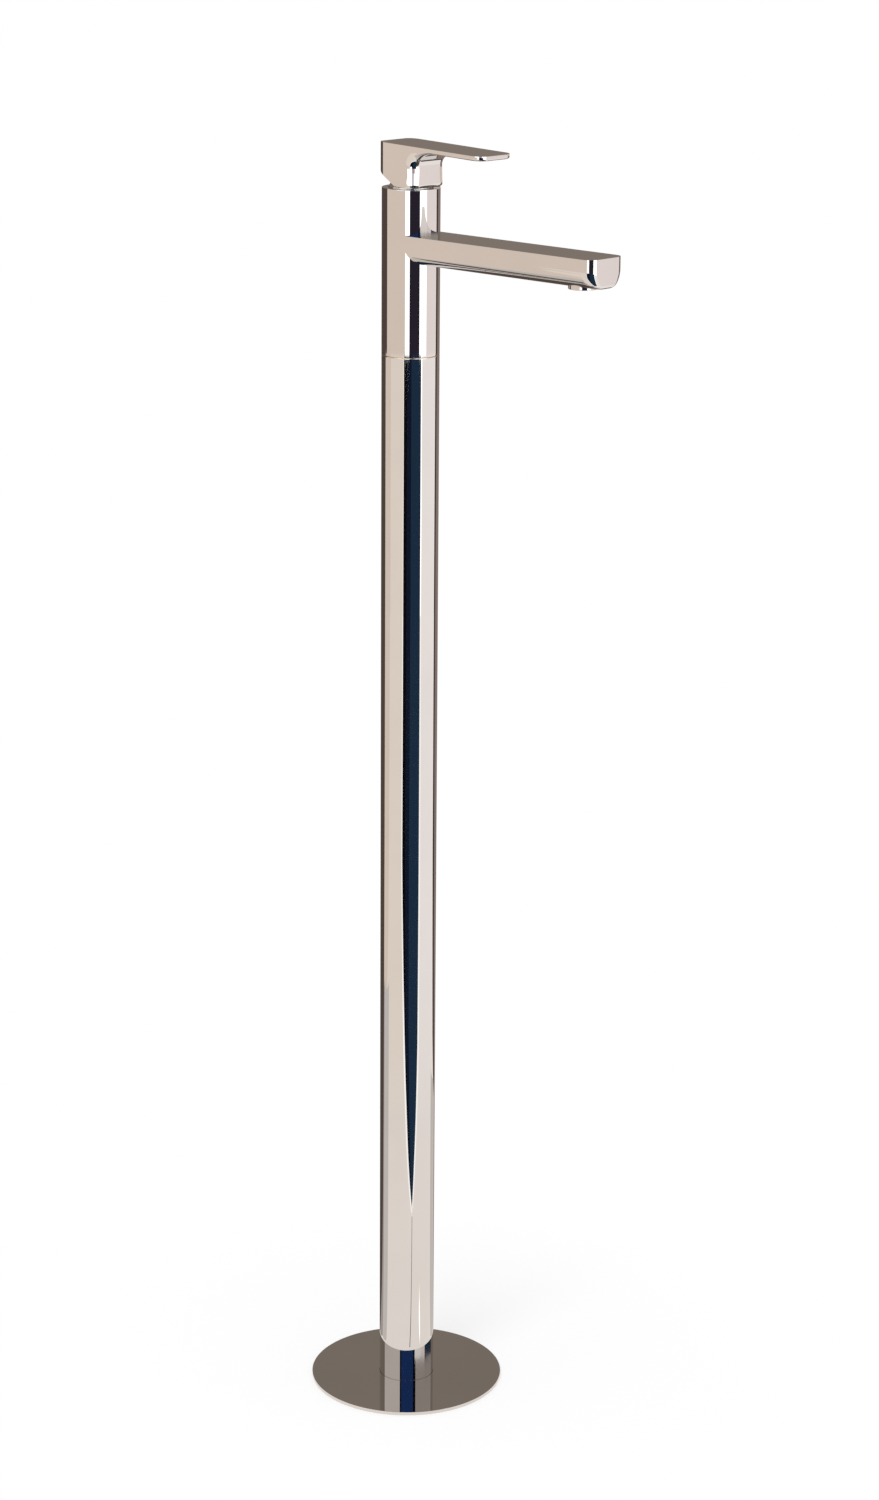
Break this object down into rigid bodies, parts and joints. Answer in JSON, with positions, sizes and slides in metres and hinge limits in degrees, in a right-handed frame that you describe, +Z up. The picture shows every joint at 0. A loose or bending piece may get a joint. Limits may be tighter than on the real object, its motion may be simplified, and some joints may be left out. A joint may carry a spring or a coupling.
{
  "type": "floor-standing basin mixer",
  "caption": "Tall slim polished basin tap on a round floor rose, with a long flat-topped spout and a single flat lever that swivels and lifts.",
  "frame": {"origin": "on the column's axis at floor level, on the foot flange's underside", "axes": "+Z up the column, -Y along the spout and the lever towards their ends, +X to the right of someone who looks along +Y, which is the cold side"},
  "size_m": [0.176, 0.31, 1.1427],
  "materials": {
    "chrome": "bright polished chrome plate",
    "brass": "turned and cast brass",
    "steel": "plain stainless steel",
    "braid": "rubber hose under a stainless steel braid",
    "rubber": "black seal rubber",
    "ceramic": "ground ceramic",
    "cartridge_plastic": "pale moulded plastic",
    "dark_plastic": "dark moulded plastic",
    "rotor_plastic": "orange moulded plastic",
    "index_plastic": "grey moulded plastic"
  },
  "bodies": {
    "stand": {"floor_flange": "steel", "foot_spigot": "brass", "foot_o_rings": "rubber", "foot_screws": "steel", "column_tube": "chrome", "lower_hose_nuts": "brass", "lower_hose_gaskets": "rubber", "lower_hose_tails": "brass", "hot_hose": "braid", "cold_hose": "braid", "hose_ferrules": "steel", "upper_hose_tails": "brass", "hose_tail_o_rings": "rubber", "valve_body": "brass", "body_o_rings": "rubber", "body_screws": "steel", "body_shell": "chrome", "spout": "chrome", "spout_nipple": "brass", "nipple_o_rings": "rubber", "spout_pins": "steel", "aerator_housing": "chrome", "aerator_insert": "cartridge_plastic", "aerator_washer": "rubber", "cartridge_base": "cartridge_plastic", "cartridge_seals": "rubber", "fixed_disc": "ceramic", "cartridge_housing": "cartridge_plastic", "retaining_nut": "brass", "dome_cover": "chrome"},
    "rose": {"rose": "chrome"},
    "rotor": {"rotor": "rotor_plastic", "pivot_pin": "steel"},
    "lever": {"spindle": "steel", "lever_handle": "chrome", "lever_screw": "steel", "index_plug": "index_plastic"},
    "slider": {"disc_carrier": "dark_plastic", "moving_disc": "ceramic"}
  },
  "joints": [
    {"name": "rose_lift", "type": "slide", "parent": "stand", "child": "rose", "axis": [0, 0, 1], "range_m": [0, 1.03]},
    {"name": "lever_swivel", "type": "hinge", "parent": "stand", "child": "rotor", "pos_m": [0, 0, 1.096], "axis": [0, 0, 1], "range_deg": [-45, 45]},
    {"name": "lever_lift", "type": "hinge", "parent": "rotor", "child": "lever", "pos_m": [0, 0, 1.096], "axis": [-1, 0, 0], "range_deg": [0, 25]},
    {"name": "disc_slide", "type": "slide", "parent": "rotor", "child": "slider", "axis": [0, -1, 0], "range_m": [0, 0.00565]}
  ],
  "couplings": [
    {"joint": "disc_slide", "follows": "lever_lift", "m_per_rad": 0.012897}
  ]
}
